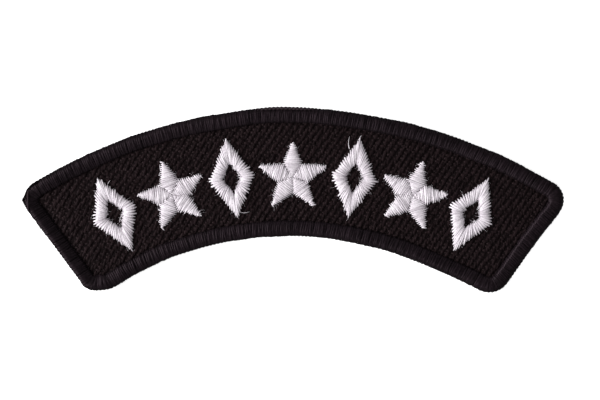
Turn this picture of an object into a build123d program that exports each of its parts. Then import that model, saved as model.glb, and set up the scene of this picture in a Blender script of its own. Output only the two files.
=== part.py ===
from build123d import *
import math
import os

# Sewn rocker patch: an arched band of black twill cloth, closed by an overlocked border,
# with white satin-stitched lozenges and stars along its middle.
# Millimetres. X runs along the width, Y towards the crown of the arch, Z out of the face.
# Z = 0 is the plane that the border's underside lies on. Angles are in degrees from the
# Y axis, positive towards +X. The sizes below are placed as measured, and the whole patch
# is moved at the end, so that X = Y = 0 is the middle of its outline.

# Outer edge. Each edge is a row of tangent arcs from left to right, and its first arc has
# the centre given. Columns: radius, angle at which the arc ends.
TOP_CENTRE = (3.04, -82.57)
TOP_START = -36.0
TOP_ARCS = [
    (100.14, -4.44),  # left shoulder
    (30.0, 0.48),  # crown
    (102.32, 36.0),  # right shoulder
]
LOW_CENTRE = (-0.81, -67.91)
LOW_START = -45.0
LOW_ARCS = [
    (61.13, 18.72),  # left and middle
    (113.88, 36.0),  # right, flatter
]

# The two straight ends lie on lines that meet below the arch.
END_APEX = (0.31, -69.5)
END_ANGLES = (-36.6, 36.5)

# Corners of the outer edge. Columns: side in X, side in Y, rounding radius.
CORNERS = [
    (-1, 1, 3.5),  # top left
    (1, 1, 3.6),  # top right
    (-1, -1, 4.5),  # low left
    (1, -1, 3.9),  # low right
]
LEAST_ROUND = 0.5  # at any corner that lies inside the outer edge

# Overlocked border: a ring of thread with a C-shaped section that holds the cloth's edge.
BORDER_HEIGHT = 2.05
BORDER_WIDTH = 2.85  # along the arched edges
END_BORDER_WIDTH = 2.55  # along the straight ends
CROWN_ROUND = 1.15  # outer top edge
FOOT_ROUND = 0.5  # outer bottom edge
LIP_ROUND = 0.45  # inner top edge, along the seam
WEB = 0.7  # thread outside the cloth's edge

# Cloth with its stabiliser, one flat wall.
CLOTH_THICKNESS = 1.1
CLOTH_LIFT = 0.35  # height of its underside
FIT_GAP = 0.05  # between neighbouring pieces

# Satin stitch: columns with low straight sides under a round top.
SATIN_SIDE = 0.3
SATIN_HEIGHT = 0.65
SATIN_STROKE = 2.15

# Row of motifs, on an arc about this hub.
MOTIF_HUB = (0.0, -72.0)
MOTIF_RADIUS = 76.9
MOTIF_PITCH = 8.6
MOTIF_COUNT = 7
DIAMOND_WIDTH = 8.5
DIAMOND_HEIGHT = 14.8
STAR_POINTS = 5
STAR_RADIUS = 6.9
STAR_NOTCH = 0.45  # notch radius as a share of the star's radius
STAR_DROP = 0.095  # how far the star's centre lies below the row, as a share of its radius

# Chain tail: a short flat loop of edging thread round the top left corner.
TAIL_WIDTH = 0.34
TAIL_HEIGHT = 1.0
TAIL_TURN = 50.0
TAIL_START = 154.0  # where it begins, counted from the X axis

REACH = 150.0  # longer than the patch, for construction faces


def direction(angle):
    """Unit vector at an angle from the Y axis."""
    return Vector(math.sin(math.radians(angle)), math.cos(math.radians(angle)))


def under(centre, start, rows, inset):
    """Face below a row of tangent arcs, each drawn with its radius less the inset."""
    middle = Vector(*centre)
    arcs = []
    for number, (radius, stop) in enumerate(rows):
        arcs.append(CenterArc(middle, radius - inset, 90 - stop, stop - start))
        if number + 1 < len(rows):
            middle += direction(stop) * (radius - rows[number + 1][0])
        start = stop
    left_end = arcs[0] @ 1
    right_end = arcs[-1] @ 0
    return make_face(arcs + [Line(left_end, END_APEX), Line(END_APEX, right_end)])


def beside(angle, side, inset):
    """Half plane on one side of an end line, moved inwards by the inset."""
    square = Pos(side * (inset + REACH / 2), REACH / 2) * Rectangle(REACH, REACH)
    return Pos(*END_APEX) * Rot(0, 0, -angle) * square


def band(arc_inset, end_inset):
    """The patch's outline with sharp corners, moved inwards from the outer edge."""
    left, right = END_ANGLES
    face = under(TOP_CENTRE, TOP_START, TOP_ARCS, arc_inset)
    face = face & beside(left, 1, end_inset) & beside(right, -1, end_inset)
    return face - under(LOW_CENTRE, LOW_START, LOW_ARCS, -arc_inset)


def outline(arc_inset, end_inset):
    """The patch's outline with round corners, moved inwards from the outer edge."""
    face = band(arc_inset, end_inset)
    for side_x, side_y, radius in CORNERS:
        corner = max(face.vertices(), key=lambda v: side_x * v.X + side_y * v.Y)
        face = fillet(corner, max(radius - arc_inset, LEAST_ROUND))
    return face


def slab(face, bottom, top):
    """A flat wall of the face's outline between two heights."""
    return extrude(Pos(0, 0, bottom) * face, top - bottom)


def make_ground():
    """The cloth: one wall whose edge lies in the border's groove."""
    inset = WEB + FIT_GAP
    return slab(outline(inset, inset), CLOTH_LIFT, CLOTH_LIFT + CLOTH_THICKNESS)


def make_border():
    """The ring of thread: a round-topped slab, opened in the middle and grooved."""
    ring = slab(outline(0, 0), 0, BORDER_HEIGHT)
    ring = fillet(ring.edges().group_by(Axis.Z)[-1], CROWN_ROUND)
    ring = fillet(ring.edges().group_by(Axis.Z)[0], FOOT_ROUND)
    ring = ring - slab(outline(BORDER_WIDTH, END_BORDER_WIDTH), 0, BORDER_HEIGHT)
    lip = ring.faces().sort_by(Axis.Z)[-1].inner_wires()[0].edges()
    ring = fillet(lip, LIP_ROUND)
    groove_bottom = CLOTH_LIFT - FIT_GAP
    groove_top = CLOTH_LIFT + CLOTH_THICKNESS + FIT_GAP
    return ring - slab(outline(WEB, WEB), groove_bottom, groove_top)


def make_tail():
    """The chain tail: an oval section turned about the centre of the top left corner."""
    corner = min(outline(0, 0).edges().filter_by(GeomType.CIRCLE), key=lambda e: e.center().X)
    centre = corner.arc_center
    reach = corner.radius + FIT_GAP + TAIL_WIDTH / 2
    section = Pos(reach, 0, TAIL_HEIGHT / 2) * Rot(90, 0, 0) * Ellipse(TAIL_WIDTH / 2, TAIL_HEIGHT / 2)
    return Pos(centre.X, centre.Y) * Rot(0, 0, TAIL_START) * revolve(section, Axis.Z, TAIL_TURN)


def satin_section():
    """Cross-section of a satin column, in its own XY plane with Y up."""
    half = SATIN_STROKE / 2
    foot = Polyline((-half, SATIN_SIDE), (-half, 0), (half, 0), (half, SATIN_SIDE))
    return make_face([foot, ThreePointArc((half, SATIN_SIDE), (0, SATIN_HEIGHT), (-half, SATIN_SIDE))])


def make_diamond():
    """A hollow lozenge: one satin column round four sides, with mitred corners."""
    half_width = DIAMOND_WIDTH / 2
    half_height = DIAMOND_HEIGHT / 2
    middle_to_side = half_width * half_height / math.hypot(half_width, half_height)
    share = 1 - SATIN_STROKE / 2 / middle_to_side
    right = Vector(share * half_width, 0)
    top = Vector(0, share * half_height)
    start = (right + top) / 2
    path = Polyline(start, top, -right, -top, right, start)
    across = Plane(origin=path @ 0, z_dir=path % 0, x_dir=Vector(0, 0, 1).cross(path % 0))
    return sweep(across * satin_section(), path=path, transition=Transition.RIGHT)


def make_star():
    """A star: a low flat base, with one arched cap along each ray."""
    step = 360 / STAR_POINTS
    notch = STAR_NOTCH * STAR_RADIUS
    corners = []
    for number in range(STAR_POINTS):
        corners.append(direction(number * step) * STAR_RADIUS)
        corners.append(direction((number + 0.5) * step) * notch)
    star = extrude(make_face(Polyline(*corners, close=True)), SATIN_SIDE)
    half = notch * math.sin(math.radians(step / 2))
    along = notch * math.cos(math.radians(step / 2))
    chord = Line((half, along, SATIN_SIDE), (-half, along, SATIN_SIDE))
    arch = ThreePointArc((-half, along, SATIN_SIDE), (0, along, SATIN_HEIGHT), (half, along, SATIN_SIDE))
    widest = make_face([chord, arch])
    cap = loft([Vertex(0, 0, SATIN_SIDE), widest, Vertex(0, STAR_RADIUS, SATIN_SIDE)], ruled=True)
    for number in range(STAR_POINTS):
        star = star + Rot(0, 0, number * step) * cap
    return Pos(0, -STAR_DROP * STAR_RADIUS) * star


def motif_place(number):
    """Where a motif stands: upright on its radius, just above the cloth."""
    angle = (number - (MOTIF_COUNT - 1) / 2) * MOTIF_PITCH
    height = CLOTH_LIFT + CLOTH_THICKNESS + FIT_GAP
    return Pos(*MOTIF_HUB, height) * Rot(0, 0, -angle) * Pos(0, MOTIF_RADIUS)


nodes = {
    "twill_ground": make_ground(),
    "merrowed_border": make_border(),
    "border_tail": make_tail(),
}
for motif in range(MOTIF_COUNT):
    order = motif // 2 + 1
    if motif % 2 == 0:
        nodes[f"diamond_{order}"] = motif_place(motif) * make_diamond()
    else:
        nodes[f"star_{order}"] = motif_place(motif) * make_star()

edge = nodes["merrowed_border"].solids() + nodes["border_tail"].solids()
box = Compound(edge).bounding_box()
to_middle = Pos(-box.center().X, -box.center().Y)
os.makedirs("parts", exist_ok=True)
for name, solid in nodes.items():
    export_step(to_middle * solid, f"parts/{name}.step")
print("outline", round(box.size.X, 2), "x", round(box.size.Y, 2), "moved by", to_middle.position)
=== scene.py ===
# %% [markdown]
# # A sewn rocker patch
# The object is an arched shoulder patch, about 102 mm wide: black twill cloth, a raised
# black border of overlock stitches, and a row of white satin-stitched lozenges and stars.
# Everything on it is thread, so nearly everything here is built as thread: real strands that
# lie where a needle would lay them, over plain bodies that give them their shape.

import math

import bpy
import numpy as np
from mathutils.geometry import delaunay_2d_cdt
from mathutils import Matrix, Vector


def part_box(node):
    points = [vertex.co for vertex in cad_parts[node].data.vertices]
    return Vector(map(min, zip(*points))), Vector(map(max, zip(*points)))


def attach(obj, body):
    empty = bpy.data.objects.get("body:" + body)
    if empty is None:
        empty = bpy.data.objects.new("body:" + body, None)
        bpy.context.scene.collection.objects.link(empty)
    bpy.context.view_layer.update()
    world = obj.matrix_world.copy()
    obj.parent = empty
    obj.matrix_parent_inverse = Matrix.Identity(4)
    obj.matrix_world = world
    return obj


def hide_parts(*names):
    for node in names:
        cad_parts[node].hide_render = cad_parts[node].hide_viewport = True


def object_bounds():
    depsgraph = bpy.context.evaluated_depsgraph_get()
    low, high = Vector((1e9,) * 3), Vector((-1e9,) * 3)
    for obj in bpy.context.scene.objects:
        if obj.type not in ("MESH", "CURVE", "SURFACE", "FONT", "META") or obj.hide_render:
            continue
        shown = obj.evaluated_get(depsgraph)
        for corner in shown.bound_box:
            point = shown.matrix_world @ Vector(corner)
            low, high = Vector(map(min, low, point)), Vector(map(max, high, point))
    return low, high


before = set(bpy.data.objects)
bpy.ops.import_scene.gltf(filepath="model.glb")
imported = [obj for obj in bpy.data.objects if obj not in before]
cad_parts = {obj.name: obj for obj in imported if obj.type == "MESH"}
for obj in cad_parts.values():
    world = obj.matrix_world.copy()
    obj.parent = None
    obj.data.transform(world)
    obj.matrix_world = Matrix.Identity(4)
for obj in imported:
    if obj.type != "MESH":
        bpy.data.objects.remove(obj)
cad_low, cad_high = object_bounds()
MM = 0.001
SEED = 7
rng = np.random.default_rng(SEED)
print("CAD nodes:", sorted(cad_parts))
print("CAD box in mm:", [round((b - a) / MM, 2) for a, b in zip(cad_low, cad_high)])


def add_object(name, data):
    """An object of that data, linked into the scene."""
    added = bpy.data.objects.new(name, data)
    bpy.context.scene.collection.objects.link(added)
    return added


# %% [markdown]
# ## The photograph's view
# The picture looks straight down on the patch with a long lens, so the camera is set by
# measuring: the patch is four inches wide and spans known pixels, which gives the scale.
# A camera with no rotation looks down -Z with +Y upwards, which is what this view needs.

# %% Camera
PHOTO_WIDTH, PHOTO_HEIGHT = 600, 400
PATCH_WIDTH = 101.6 * MM  # four inches
PATCH_PIXELS = 540.1
MIDDLE_X, MIDDLE_Y = 292.8, 199.85  # the patch's middle, in pixels from the photograph's top left corner
LENS, SENSOR = 100.0, 36.0
EDGE_HEIGHT = 1.0 * MM  # the outline that shows is the border's middle height
CLIP_START = 0.01

metres_per_pixel = PATCH_WIDTH / PATCH_PIXELS
camera = add_object("camera", bpy.data.cameras.new("camera"))
camera.data.lens = LENS
camera.data.sensor_width = SENSOR
camera.data.clip_start = CLIP_START
camera.location = (
    (cad_low.x + cad_high.x) / 2 + (PHOTO_WIDTH / 2 - MIDDLE_X) * metres_per_pixel,
    (cad_low.y + cad_high.y) / 2 + (MIDDLE_Y - PHOTO_HEIGHT / 2) * metres_per_pixel,
    EDGE_HEIGHT + PHOTO_WIDTH * metres_per_pixel * LENS / SENSOR,
)
bpy.context.scene.camera = camera
print("camera", [round(c, 4) for c in camera.location])


# %% [markdown]
# ## Node helpers
# A procedural material is a small graph. A few helpers keep the graphs readable: they add a
# node, fill its sockets, or make a colour ramp. Numbers that are the same all over a surface
# are set on the shader's own sockets.

# %% Material helpers
def plug(material, node, **sockets):
    """Fills a node's sockets, named or numbered i0, i1 and on, with constants or other nodes' outputs."""
    for name, value in sockets.items():
        key = int(name[1:]) if name[1:].isdigit() else name.replace("_", " ")
        if isinstance(value, bpy.types.NodeSocket):
            material.node_tree.links.new(value, node.inputs[key])
        else:
            node.inputs[key].default_value = value


def add_node(material, kind, settings=None, **sockets):
    """A new node of that kind, with its settings made and its sockets filled."""
    node = material.node_tree.nodes.new(kind)
    for name, value in (settings or {}).items():
        setattr(node, name, value)
    plug(material, node, **sockets)
    return node


def calculate(material, operation, *values):
    """The output of a calculation. MULTIPLY_ADD is the first value times the second, plus the third."""
    sockets = {f"i{number}": value for number, value in enumerate(values)}
    return add_node(material, "ShaderNodeMath", {"operation": operation}, **sockets).outputs[0]


def add_ramp(material, factor, stops):
    """A colour ramp through (place, colour) stops."""
    node = add_node(material, "ShaderNodeValToRGB", Fac=factor)
    while len(node.color_ramp.elements) < len(stops):
        node.color_ramp.elements.new(0.5)
    for element, (place, colour) in zip(node.color_ramp.elements, stops):
        element.position = place
        element.color = (*colour, 1)
    return node.outputs["Color"]


def new_material(name):
    """An empty node material with its output, and its Principled shader."""
    material = bpy.data.materials.new(name)
    material.use_nodes = True
    return material, material.node_tree.nodes["Principled BSDF"]


# %% [markdown]
# ## Studio
# The photograph is a catalogue cut-out on pure white. Such pictures are taken on a light
# table: a white sheet that glows, so that the shadow washes out. The floor here does the
# same with a little emission. The only direction in the light is from the left, where every
# slope that faces left is brighter, so a large soft lamp stands on the left, two weak ones
# stand in front and behind, and a dim even sky fills the rest. The soft lamp stands far off,
# so that it lights the right end nearly as much as the left. Nothing hangs overhead, where
# it would shine back from the flat tops of the threads and grey them. For the same reason the
# threads don't see the glowing sheet: mirrored at a grazing angle in the rim's steep side, it
# would draw a grey line all round the patch, where the photograph has a dark one.

# %% Light table
FLOOR_SIZE = 4.0
FLOOR_DROP = 0.01 * MM
FLOOR_GLOW = 0.78
WHITE = (1, 1, 1, 1)
PAPER_GRAIN = 900.0  # grains to a metre
PAPER_TONES = [(0.3, (0.9, 0.9, 0.9)), (0.7, (0.93, 0.93, 0.93))]

half, level = FLOOR_SIZE / 2, cad_low.z - FLOOR_DROP
floor_mesh = bpy.data.meshes.new("floor")
corners = [(x * half, y * half, level) for x, y in ((-1, -1), (1, -1), (1, 1), (-1, 1))]
floor_mesh.from_pydata(corners, [], [(0, 1, 2, 3)])
floor = add_object("floor", floor_mesh)
paper, paper_shader = new_material("studio_paper")
paper_grain = add_node(paper, "ShaderNodeTexNoise", Scale=PAPER_GRAIN, Detail=3.0)
plug(paper, paper_shader, Base_Color=add_ramp(paper, paper_grain.outputs["Fac"], PAPER_TONES), Roughness=0.9,
     Specular_IOR_Level=0.1, Emission_Color=WHITE, Emission_Strength=FLOOR_GLOW)
floor_mesh.materials.append(paper)
floor.visible_diffuse = False
floor.visible_glossy = False
print("light table", FLOOR_SIZE, "m wide, at", round(level / MM, 3), "mm")

# %% Lamps and sky
# Columns: name, place in metres, size in metres, power in watts.
LAMPS = [
    ("left_softbox", (-1.5, 0.0, 0.72), 0.9, 40.0),
    ("front_fill", (0.1, -0.7, 0.5), 0.5, 1.8),
    ("back_fill", (0.1, 0.7, 0.5), 0.5, 1.35),
]
SKY_STRENGTH = 0.19

for name, place, size, power in LAMPS:
    lamp = add_object(name, bpy.data.lights.new(name, "AREA"))
    lamp.data.size = size
    lamp.data.energy = power
    lamp.location = place
    lamp.rotation_mode = "QUATERNION"
    lamp.rotation_quaternion = lamp.location.to_track_quat("Z", "Y")
    lamp.visible_camera = False
sky = bpy.data.worlds.new("sky")
sky.use_nodes = True
plug(sky, sky.node_tree.nodes["Background"], Color=WHITE, Strength=SKY_STRENGTH)
bpy.context.scene.world = sky
bpy.context.scene.view_settings.view_transform = "Standard"
print("lamps", [name for name, *_ in LAMPS])


# %% [markdown]
# ## The outline
# The cutting line of the patch is a chain of arcs and two straight ends. The border, the
# cloth and the tail all follow it, so it is worked out once, as points with the direction
# that faces outwards. Angles run clockwise from +Y, as on a clock face. The sizes are those
# of the CAD solids, and the line is then moved to where the CAD border lies. A curve object
# could draw it, but plain arrays can also be measured along and moved inwards. A patch is cut
# and fed round the machine by hand, so here its edge also strays a little from the true arcs.

# %% Directions and soft curves
def heading(angle):
    """Unit vectors at clock-face angles in degrees."""
    turn = np.radians(angle)
    return np.stack([np.sin(turn), np.cos(turn)], axis=-1)


def left_of(directions):
    """Flat directions turned a quarter to the left."""
    return np.stack([-directions[..., 1], directions[..., 0]], axis=-1)


def unit(vectors):
    """Vectors of length one."""
    return vectors / np.maximum(np.linalg.norm(vectors, axis=-1, keepdims=True), 1e-12)


def bump(away, reach, power=2):
    """1 where away is zero, falling smoothly to 0 past the reach."""
    return np.exp(-((away / reach) ** power))


def waves(at, terms):
    """A sum of sines that hardly repeats. Each term is a height, a rate and a start."""
    return sum(height * np.sin(rate * at + start) for height, rate, start in terms)


def swirl(x, y, rate, bend, bend_rate, start=0.0):
    """Waves along x whose crests wander with y."""
    return np.sin(rate * x + bend * np.sin(bend_rate * y) + start)


def vary(spread, *shape):
    """Random values about zero."""
    return rng.normal(0, spread, shape)


def eased(count):
    """Places from -1 to 1, closer together towards both ends."""
    return np.sin(np.linspace(-1, 1, count) * np.pi / 2)


# %% Outline sizes
# Each arc has a radius and the angle at which the next arc takes over.
TOP_CENTRE, TOP_ARCS = (3.04, -82.57), [(100.14, -4.44), (30.0, 0.48), (102.32, None)]
LOW_CENTRE, LOW_ARCS = (-0.81, -67.91), [(61.13, 18.72), (113.88, None)]
END_APEX, END_ANGLES = np.array((0.31, -69.5)), (-36.6, 36.5)
CORNER_ROUNDS = {("top", "left"): 3.5, ("top", "right"): 3.6, ("low", "left"): 4.5, ("low", "right"): 3.9}
SAMPLE = 0.1  # mm between points
# Where the edge strays. Columns: place along the outline, reach and shift outwards, in mm.
STRAYS = [
    (35.0, 2.2, -0.09), (43.0, 2.5, 0.08), (60.0, 4.0, -0.1), (89.0, 5.0, -0.08), (109.5, 2.5, -0.08),
    (114.0, 1.3, 0.08), (121.0, 4.5, -0.1), (132.5, 1.6, 0.1), (139.5, 3.0, -0.1), (148.0, 1.8, 0.1),
    (156.0, 2.5, -0.09), (172.0, 2.5, -0.09), (182.0, 1.5, 0.08), (216.0, 3.0, -0.14), (225.8, 1.5, 0.1),
    (228.9, 1.6, -0.2), (232.0, 1.2, 0.14),
]
print(len(TOP_ARCS) + len(LOW_ARCS), "arcs,", len(CORNER_ROUNDS), "corners,", len(STRAYS), "strays")


# %% Outline pieces
def arc_centres(centre, arcs):
    """The centre of each arc in a row of tangent arcs."""
    centres = [np.array(centre)]
    for (radius, stop), (following, _) in zip(arcs, arcs[1:]):
        centres.append(centres[-1] + heading(stop) * (radius - following))
    return centres


def corner_centre(end_angle, inward, centre, reach, rounding):
    """Centre of the rounding that touches an end line and an arc, whose centre is that reach away."""
    along = heading(end_angle)
    foot = END_APEX + inward * rounding - centre
    step = math.sqrt((foot @ along) ** 2 - foot @ foot + reach**2) - foot @ along
    return centre + foot + along * step


def arc_points(centre, radius, start, stop, outward=1):
    """Points and outward directions along an arc."""
    count = max(2, int(abs(math.radians(stop - start)) * radius / SAMPLE))
    spokes = heading(np.linspace(start, stop, count, endpoint=False))
    return centre + radius * spokes, outward * spokes


def row_points(centres, arcs, turns, outward):
    """Points and outward directions along each arc of a row, between the angles where it turns."""
    rows = zip(centres, arcs, turns, turns[1:])
    return [arc_points(centre, radius, start, stop, outward) for centre, (radius, _), start, stop in rows]


def line_points(start, stop, outward):
    """Points and outward directions along a straight end."""
    count = int(np.linalg.norm(stop - start) / SAMPLE)
    share = np.linspace(0, 1, count, endpoint=False)[:, None]
    return start + share * (stop - start), np.repeat(outward[None], count, axis=0)


def outline():
    """The outer edge, clockwise from the low left corner, and the point numbers of its straight ends."""
    tops, lows = arc_centres(TOP_CENTRE, TOP_ARCS), arc_centres(LOW_CENTRE, LOW_ARCS)
    left, right = END_ANGLES
    facing = {"left": heading(left - 90), "right": heading(right + 90)}
    rounds, turns, ends = [], [], {}
    for (level, side), rounding in CORNER_ROUNDS.items():
        which = 0 if side == "left" else -1
        centres, arcs, beyond = (tops, TOP_ARCS, -1) if level == "top" else (lows, LOW_ARCS, 1)
        reach = arcs[which][0] + beyond * rounding
        middle = corner_centre(END_ANGLES[which], -facing[side], centres[which], reach, rounding)
        toward = middle - centres[which]
        rounds.append((middle, rounding))
        turns.append(math.degrees(math.atan2(toward[0], toward[1])))
        ends[level, side] = middle + facing[side] * rounding
    top_turns = [turns[0], *(stop for _, stop in TOP_ARCS[:-1]), turns[1]]
    low_turns = [turns[3], *(stop for _, stop in LOW_ARCS[-2::-1]), turns[2]]
    stretches = [
        line_points(ends["low", "left"], ends["top", "left"], facing["left"]),
        arc_points(*rounds[0], left - 90, turns[0]),
        *row_points(tops, TOP_ARCS, top_turns, 1),
        arc_points(*rounds[1], turns[1], right + 90),
        line_points(ends["top", "right"], ends["low", "right"], facing["right"]),
        arc_points(*rounds[3], right + 90, turns[3] + 180),
        *row_points(lows[::-1], LOW_ARCS[::-1], low_turns, -1),
        arc_points(*rounds[2], turns[2] + 180, left + 270),
    ]
    starts = np.cumsum([0] + [len(points) for points, _ in stretches])
    spans = [(starts[i], starts[i + 1]) for i in (0, 3 + len(TOP_ARCS))]
    return *(np.concatenate(part) for part in zip(*stretches)), spans


# %% The edge line
edge_points, edge_outward, end_spans = outline()
border_low, border_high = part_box("merrowed_border")
border_middle = np.array([(border_low.x + border_high.x) / 2, (border_low.y + border_high.y) / 2]) / MM
edge_shift = border_middle - (edge_points.min(0) + edge_points.max(0)) / 2
edge_points = edge_points + edge_shift
edge_gaps = np.linalg.norm(np.roll(edge_points, -1, axis=0) - edge_points, axis=1)
edge_length = float(edge_gaps.sum())
edge_at = np.concatenate([[0], np.cumsum(edge_gaps)])
end_spans = [(edge_at[start], edge_at[stop]) for start, stop in end_spans]
for place, reach, shift in STRAYS:
    edge_points += edge_outward * (shift * bump(edge_at[:-1] - place, reach))[:, None]
edge_low, edge_high = edge_points.min(0), edge_points.max(0)
edge_loop = np.vstack([edge_points, edge_points[:1]])
outward_loop = np.vstack([edge_outward, edge_outward[:1]])


def along_loop(distance, loop):
    """Values of a closed loop at distances along the outline."""
    place = np.mod(distance, edge_length)
    return np.stack([np.interp(place, edge_at, loop[:, i]) for i in (0, 1)], axis=-1)


def edge_facing(distance):
    """The direction that faces out of the outline at a distance along it."""
    return unit(along_loop(distance, outward_loop))


def on_edge(distance, inset):
    """Points at a distance along the outline, moved inwards by an inset, in mm."""
    return along_loop(distance, edge_loop) - edge_facing(distance) * np.asarray(inset)[..., None]


print("outline", round(edge_length, 1), "mm long,", len(edge_points), "points, moved by", edge_shift.round(3))
print("straight ends at", [[round(float(d), 1) for d in span] for span in end_spans], "mm along it")


# %% [markdown]
# ## Strands
# A thread is a long soft tube, a little flatter than round. A bevelled curve draws one well,
# but thousands make up the patch, so they are built together: one array of centre lines, one
# of half widths, and one mesh at the end. Each strand keeps a tone of its own, which its
# material reads, because no two stitches of real thread catch the light alike. The UV map
# holds the distance along the strand and the place round it, for the fibres' direction.

# %% Strand faces
UP = np.array([0.0, 0.0, 1.0])


def raised(flat, height):
    """Flat points at a height of their own, or flat directions with a height of zero."""
    return np.concatenate([flat, np.broadcast_to(height, flat.shape[:-1])[..., None]], axis=-1)


def ring_faces(strands, stations, sides):
    """Quads between neighbouring rings of every strand, and one cap at each end."""
    k, j, i = np.meshgrid(np.arange(strands), np.arange(stations - 1), np.arange(sides), indexing="ij")
    base = (k * stations + j) * sides
    after = (i + 1) % sides
    quads = np.stack([base + i, base + sides + i, base + sides + after, base + after], axis=-1).reshape(-1, 4)
    first = np.arange(strands)[:, None] * stations * sides
    around = np.arange(sides)[None]
    caps = np.concatenate([first + around, first + (stations - 1) * sides + around[:, ::-1]])
    return quads, caps


def skin_faces(rows, columns, ring):
    """Faces over rows of closed sections: joined into a ring, or closed with a cap at each end."""
    i, j = np.meshgrid(np.arange(rows if ring else rows - 1), np.arange(columns), indexing="ij")
    here, there = i * columns, (i + 1) % rows * columns
    after = (j + 1) % columns
    quads = np.stack([here + j, here + after, there + after, there + j], axis=-1)
    caps = np.zeros((0, columns), int)
    if not ring:
        section = np.arange(columns)
        caps = np.stack([section[::-1], (rows - 1) * columns + section])
    return quads.reshape(-1, 4), caps


# %% Strand meshes
def make_piece(name, points, quads, caps, tone, uv, material):
    """A smooth mesh object from arrays. Points are in mm, and tone has one value for each point."""
    mesh = bpy.data.meshes.new(name)
    mesh.vertices.add(len(points))
    mesh.vertices.foreach_set("co", (points * MM).astype(np.float32).ravel())
    sizes = np.concatenate([np.full(len(quads), 4), np.full(len(caps), caps.shape[1])])
    mesh.loops.add(int(sizes.sum()))
    mesh.loops.foreach_set("vertex_index", np.concatenate([quads.ravel(), caps.ravel()]).astype(np.int32))
    mesh.polygons.add(len(sizes))
    mesh.polygons.foreach_set("loop_start", np.concatenate([[0], np.cumsum(sizes)[:-1]]).astype(np.int32))
    mesh.polygons.foreach_set("use_smooth", np.ones(len(sizes), bool))
    if uv is not None:
        layer = mesh.uv_layers.new(name="strand")
        layer.data.foreach_set("uv", uv.astype(np.float32).ravel())
    values = mesh.attributes.new("tone", "FLOAT", "POINT")
    values.data.foreach_set("value", np.asarray(tone, np.float32))
    mesh.update(calc_edges=True)
    mesh.validate()
    mesh.materials.append(material)
    piece = add_object(name, mesh)
    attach(piece, "root")
    print(f"{name}: {int((sizes - 2).sum())} triangles")
    return piece


def strand_piece(name, spines, across, half_width, half_height, tones, material, sides=8):
    """One mesh of many strands. Spines and across, the way each lies flat, are (strands, stations, 3).

    Tones has one value for each strand, or one for each of its stations.
    """
    strands, stations = spines.shape[:2]
    ahead = unit(np.gradient(spines, axis=1))
    across = np.broadcast_to(across, spines.shape)
    across = unit(across - ahead * (across * ahead).sum(-1, keepdims=True))
    above = np.cross(across, ahead)
    turn = 2 * np.pi * np.arange(sides) / sides
    wide = np.broadcast_to(half_width, (strands, stations))[:, :, None, None]
    high = np.broadcast_to(half_height, (strands, stations))[:, :, None, None]
    rings = (
        spines[:, :, None]
        + across[:, :, None] * wide * np.cos(turn)[None, None, :, None]
        + above[:, :, None] * high * np.sin(turn)[None, None, :, None]
    )
    quads, caps = ring_faces(strands, stations, sides)
    steps = np.linalg.norm(np.diff(spines, axis=1), axis=-1)
    along = np.concatenate([np.zeros((strands, 1)), np.cumsum(steps, axis=1)], axis=1)
    along += rng.uniform(0, 50, (strands, 1))
    u, u_next = (np.repeat(part[..., None], sides, axis=-1) for part in (along[:, :-1], along[:, 1:]))
    v = np.broadcast_to(np.arange(sides) / sides, u.shape)
    v_next = v + 1 / sides
    corners = [np.stack(c, -1) for c in ((u, v), (u_next, v), (u_next, v_next), (u, v_next))]
    uv = np.concatenate([np.stack(corners, axis=-2).reshape(-1, 2), np.zeros((caps.size, 2))])
    tone = np.repeat(np.broadcast_to(np.reshape(tones, (strands, -1)), (strands, stations)).ravel(), sides)
    return make_piece(name, rings.reshape(-1, 3), quads, caps, tone, uv, material)


# %% [markdown]
# ## Thread and cloth finishes
# Thread is a bundle of fine filaments. Close up, its colour changes from stitch to stitch,
# and the filaments run along it as hair-thin ridges with a slight twist. A picture of thread
# would repeat and blur, so noise is stretched along each strand instead. The black threads
# are nearly all shine: their own colour is close to nothing, and what shows is light that
# glances off the fibres. The white thread is glossier, with a little sheen between its fibres.

# %% Thread material
FILAMENT_TWIST = 0.35  # turns to a millimetre
FILAMENT_RATE = 0.9  # changes along a filament, to a millimetre
FILAMENT_SHADE = 0.5  # how much of the tone the filaments make up
FILAMENT_NOISE = {"Scale": 1.0, "Detail": 3.0, "Roughness": 0.6}
BASE_TONE, TONE_ENDS = 0.2, (0.1, 0.85)
RELIEF, SHEEN_ROUGHNESS = 0.8, 0.45


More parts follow.
